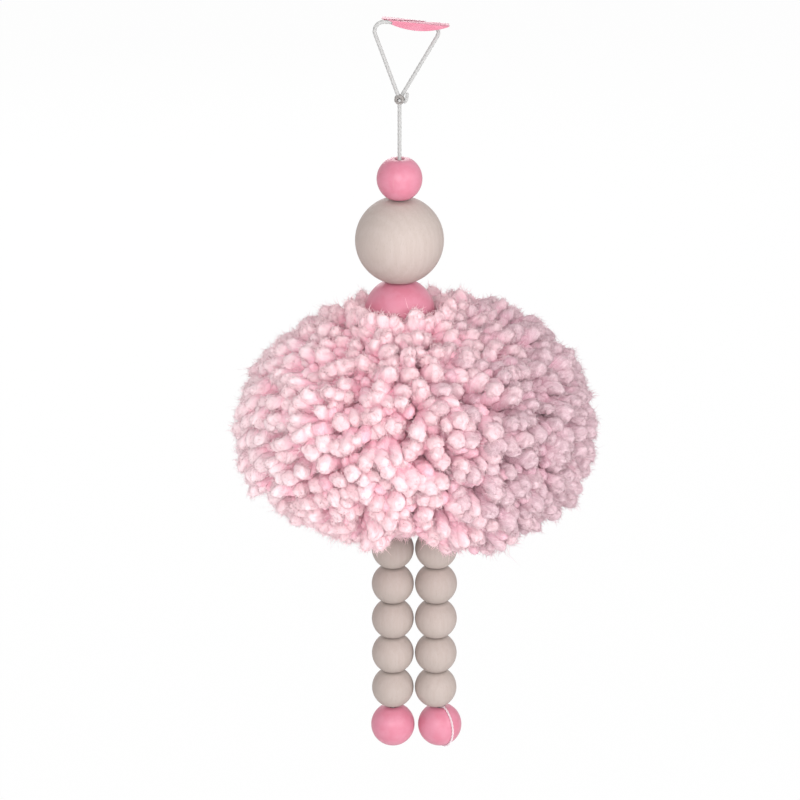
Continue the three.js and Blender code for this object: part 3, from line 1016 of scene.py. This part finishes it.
# Uneven width round and along the strands: twisted plies, lumps and hollows
def unevenWidth(gone, around, count):
    phase = chance.uniform(0, tutu["phases"], (4, count, 1, 1))
    along = gone[..., None]
    twist = around + along / tutu["plyTurn"] * 2 * math.pi + phase[0]
    plies = tutu["plyDepth"] * (np.abs(np.cos(tutu["plies"] / 2 * twist)) - tutu["plyMean"])
    large, small = tutu["lumpWaves"]
    lumps = np.sin(along / large + around + phase[1])
    lumps = lumps + np.sin(along / small - 2 * around + phase[2])
    hollow = np.sin(2 * around + along / tutu["hollowWave"] + phase[3])
    return twist, 1 + plies + tutu["lump"] * (tutu["lumpShare"] * lumps + hollow)

def makeStrands(name, layer):
    starts, bends, tips, tie, halfWidth = strandLines(layer)
    count = len(starts)
    length = np.linalg.norm(tips - starts, axis=1)
    width = tutu["tipWidth"] * chance.uniform(*tutu["widths"], count)
    cap = np.minimum(chance.uniform(*tutu["capLength"], count) * width / length, tutu["capMost"])
    body = np.linspace(0, 1, tutu["bodyRings"]) ** tutu["ringSpacing"]
    turns = np.linspace(0, math.pi / 2, tutu["capRings"] + 1)[1:-1]
    share = np.concatenate([
        body[None] * (1 - cap[:, None]),
        1 - cap[:, None] + cap[:, None] * np.sin(turns)[None],
    ], axis=1)
    blunt = np.concatenate([np.ones(tutu["bodyRings"]), np.cos(turns) ** tutu["capRound"]])
    swell = eased(np.clip(share / tutu["swellShare"], 0, 1))
    radius = (tutu["rootWidth"] + (width[:, None] - tutu["rootWidth"]) * swell) / 2 * blunt
    lines = starts[:, None], bends[:, None], tips[:, None]
    point, ahead, side, over = alongStrand(*lines, share[..., None])
    around = roundAngles(layer["sides"])
    gone = share * length[:, None]
    twist, wide = unevenWidth(gone, around, count)
    wide = wide * (1 + chance.normal(0, tutu["rough"], wide.shape))
    rings = point[:, :, None] + (radius[..., None] * wide)[..., None] * spokesRound(around, side, over)
    yarn = {
        "starts": starts, "bends": bends, "tips": tips, "width": width, "cap": cap,
        "tie": tie, "halfWidth": halfWidth, "tint": chance.uniform(0, 1, count), "bloom": layer["bloom"],
    }
    offset = chance.uniform(0, tutu["streakOffset"], (count, 1, 1, 3))
    place = np.stack(np.broadcast_arrays(
        radius[..., None] * np.cos(twist), radius[..., None] * np.sin(twist), gone[..., None],
    ), axis=-1) + offset
    place = withEnds(place.reshape(count, -1, 3))
    dyeAndShade = dyeAndShadeStrands(yarn, np.arange(count)[:, None], share)
    dyeAndShade = withEnds(np.repeat(dyeAndShade, layer["sides"], axis=1))
    addYarn(f"{name}_strands", layer["pieces"], rings, starts, tips, "pink_yarn", place, dyeAndShade)
    return yarn

def addYarn(label, pieces, rings, starts, ends, finish, place, dyeAndShade):
    for number, part in enumerate(np.array_split(np.arange(len(rings)), pieces), 1):
        piece = makeTubes(
            f"tutu_{label}_{number}", rings[part], starts[part], ends[part], finishes[finish],
            {"layPlace": place[part], "dyeAndShade": dyeAndShade[part]},
        )
        dress(piece, "tutu_yarn")
    print(label, len(rings))

# Pink dye, deep inside and pale at the cut ends as painted shade, whiter to the left as a painted highlight
# and duller mauve to the right as painted shade
dyeAndShading = {
    "pale": np.array([0.99, 0.70, 0.74]),
    "deep": np.array([0.99, 0.49, 0.61]),
    "white": np.array([0.99, 0.80, 0.83]),
    "rightShade": np.array([0.58, 0.40, 0.45]),
    "rightRootShade": np.array([0.46, 0.24, 0.31]),
    "leftLightFrom": 0.2,
    "leftLightReach": 0.6,
    "leftLightMixed": 0.4,
    "whiteShare": 0.8,
    "rightShadeFrom": 0.12,
    "rightShadeReach": 0.55,
    "rightShadeMixed": 0.8,
    "rightShadeShare": 0.9,
    "rightRootShadeShare": 0.75,
    "bloomFrom": 0.74,
    "bloomReach": 0.23,
    "least": 0.95,
    "spread": 0.08,
    "most": 0.99,
}

def dyeAndShadeStrands(yarn, which, share):
    across = (yarn["tips"][which][..., 0] - yarn["tie"][0]) / yarn["halfWidth"]
    tint = yarn["tint"][which]
    # Painted highlight: the left side is whitened as if lit
    white = (-across - dyeAndShading["leftLightFrom"]) / dyeAndShading["leftLightReach"] + (tint - 0.5) * dyeAndShading["leftLightMixed"]
    white = np.clip(white, 0, 1)[..., None]
    # Painted shade: the right side is dulled to mauve as if in shadow
    rightShade = (across - dyeAndShading["rightShadeFrom"]) / dyeAndShading["rightShadeReach"] + (tint - 0.5) * dyeAndShading["rightShadeMixed"]
    rightShade = np.clip(rightShade, 0, 1)[..., None]
    tipColour = dyeAndShading["pale"] + (dyeAndShading["white"] - dyeAndShading["pale"]) * white * dyeAndShading["whiteShare"]
    tipColour = tipColour + (dyeAndShading["rightShade"] - tipColour) * rightShade * dyeAndShading["rightShadeShare"]
    # Painted shade: the deep pink at the roots turns darker on the right
    rootShadeColour = dyeAndShading["deep"] + (dyeAndShading["rightRootShade"] - dyeAndShading["deep"]) * rightShade * dyeAndShading["rightRootShadeShare"]
    # Painted shade: strands stay deep pink towards the root and pale only near the ends; the inner layer's
    # bloom is smaller, so it stays deeper
    bloom = np.clip((share - dyeAndShading["bloomFrom"]) / dyeAndShading["bloomReach"], 0, 1)[..., None]
    colour = rootShadeColour + (tipColour - rootShadeColour) * (yarn["bloom"] * eased(bloom))
    return np.clip(colour * (dyeAndShading["least"] + dyeAndShading["spread"] * tint[..., None]), 0, dyeAndShading["most"])

# Fibres lie along the strand, lift off it a little and stand like a brush on its cut end
fibre = {
    "length": (1.0 * mm, 2.5 * mm),
    "width": 0.19 * mm,
    "sides": 3,
    "from": 0.52,
    "spacing": 0.6,
    "seat": 0.92,
    "along": 0.9,
    "off": 0.28,
    "stray": (0.3, 0.35),
    "curl": 0.35,
    "curlBack": 0.3,
    "widestAt": 0.45,
    "curlThere": 0.2,
    "flyaways": 0.02,
    "flyawayLength": 1.8,
    "flyawayWidth": 0.7,
    "pale": 0.55,
    "dyeShadeFrom": 0.84,
}

def makeFibres(name, layer, yarn):
    count = len(yarn["starts"]) * layer["fibres"]
    which = np.repeat(np.arange(len(yarn["starts"])), layer["fibres"])
    share = fibre["from"] + (1 - fibre["from"]) * chance.uniform(0, 1, count) ** fibre["spacing"]
    cap = yarn["cap"][which]
    lift = np.arcsin(np.clip((share - (1 - cap)) / cap, 0, 1))[:, None]
    point, ahead, side, over = alongStrand(
        yarn["starts"][which], yarn["bends"][which], yarn["tips"][which], share[:, None],
    )
    around = chance.uniform(0, 2 * math.pi, count)[:, None]
    out = np.cos(around) * side + np.sin(around) * over
    seat = yarn["width"][which][:, None] / 2 * np.cos(lift) ** tutu["capRound"] * fibre["seat"]
    base = point + out * seat
    off = out * np.cos(lift) + ahead * np.sin(lift)
    least, more = fibre["stray"]
    stray = chance.normal(0, 1, (count, 3)) * (least + more * np.sin(lift))
    stand = unit(ahead * fibre["along"] + off * fibre["off"] + stray)
    loose = chance.uniform(0, 1, (count, 1)) < fibre["flyaways"]
    length = chance.uniform(*fibre["length"], (count, 1)) * np.where(loose, fibre["flyawayLength"], 1)
    curl = chance.normal(0, fibre["curl"], (count, 3)) - off * np.where(loose, 0, fibre["curlBack"])
    curl = curl * length
    widest = base + stand * length * fibre["widestAt"] + curl * fibre["curlThere"]
    tip = base + stand * length + curl
    first = unit(np.cross(stand, awayAxis(stand)))
    second = np.cross(stand, first)
    thick = fibre["width"] / 2 * np.where(loose, fibre["flyawayWidth"], 1)
    spokes = spokesRound(roundAngles(fibre["sides"]), first, second)
    rings = (widest[:, None] + thick[:, None] * spokes)[:, None]
    # Fibres take the strand's colour near its end; painted highlight: some are paled towards white as if
    # catching light
    dyeAndShade = dyeAndShadeStrands(yarn, which[:, None], np.maximum(share, fibre["dyeShadeFrom"])[:, None])
    paintedLightShare = chance.uniform(0, fibre["pale"] * layer["bloom"], (count, 1, 1))
    dyeAndShade += (dyeAndShading["white"] - dyeAndShade) * paintedLightShare
    dyeAndShade = np.repeat(dyeAndShade, fibre["sides"] + 2, axis=1)
    place = np.concatenate([rings.reshape(count, -1, 3), base[:, None], tip[:, None]], axis=1)
    addYarn(f"{name}_fibres", layer["fibrePieces"], rings, base, tip, "yarn_fibres", place, dyeAndShade)

for name, layer in tutu["layers"].items():
    makeFibres(name, layer, makeStrands(name, layer))
print("tutu made")


# Pale floor, white to the camera but for a faint shadow
studio = {
    "floorDrop": 0.52,
    "floorHalf": 9.0,
    "floorColour": (0.9, 0.9, 0.9, 1),
    "whiteShare": 0.97,
    "roomLight": 0.53,
    "key": {"place": (1.35, -1.15, 0.4), "size": 0.9, "power": 14.5},
    "fill": {"place": (-0.15, -1.66, 0.46), "size": 0.8, "power": 19.5},
    "back": {"place": (-0.2, 1.7, 0.45), "size": 1.2, "power": 11.0},
    "aim": (0, 0, -0.14),
}

# 1 where the camera, a reflection or a see-through ray looks
def lookingRay(nodes):
    path = addNode(nodes, "ShaderNodeLightPath")
    value = path.outputs["Is Camera Ray"]
    for name in ("Is Glossy Ray", "Is Transmission Ray"):
        either = addNode(nodes, "ShaderNodeMath", operation="MAXIMUM")
        wire(value, either.inputs[0])
        wire(path.outputs[name], either.inputs[1])
        value = either.outputs[0]
    return value

def addFloor():
    half, drop = studio["floorHalf"], studio["floorDrop"]
    points = [(-half, -half, -drop), (half, -half, -drop), (half, half, -drop), (-half, half, -drop)]
    finish, nodes, surface = newFinish("studio_floor")
    nodes.remove(surface)
    matt = addNode(nodes, "ShaderNodeBsdfDiffuse", {"Color": studio["floorColour"]})
    glow = addNode(nodes, "ShaderNodeEmission", {"Strength": 1.0})
    share = addNode(nodes, "ShaderNodeMath", operation="MULTIPLY")
    wire(lookingRay(nodes), share.inputs[0])
    share.inputs[1].default_value = studio["whiteShare"]
    mix = addNode(nodes, "ShaderNodeMixShader")
    wire(share.outputs[0], mix.inputs["Fac"])
    wire(matt.outputs[0], mix.inputs[1])
    wire(glow.outputs[0], mix.inputs[2])
    wire(mix.outputs[0], nodes["Material Output"].inputs["Surface"])
    floor = makeMesh("studio_floor", points, [0, 1, 2, 3], [4], finish, {})

def addLamp(name, look):
    lamp = bpy.data.objects.new(name, bpy.data.lights.new(name, "AREA"))
    bpy.context.scene.collection.objects.link(lamp)
    lamp.data.shape = "DISK"
    lamp.data.size = look["size"]
    lamp.data.energy = look["power"]
    lamp.location = look["place"]
    lamp.rotation_euler = (Vector(studio["aim"]) - lamp.location).to_track_quat("-Z", "Y").to_euler()

def addRoom():
    world = bpy.data.worlds.new("studio_room")
    bpy.context.scene.world = world
    world.use_nodes = True
    nodes = world.node_tree.nodes
    room = nodes["Background"]
    room.inputs["Color"].default_value = (1, 1, 1, 1)
    strength = addNode(nodes, "ShaderNodeMapRange", {"To Min": studio["roomLight"], "To Max": 1.0})
    wire(lookingRay(nodes), strength.inputs["Value"])
    wire(strength.outputs["Result"], room.inputs["Strength"])

addFloor()
addLamp("key_lamp", studio["key"])
addLamp("fill_lamp", studio["fill"])
addLamp("back_lamp", studio["back"])
addRoom()
print("studio lit")
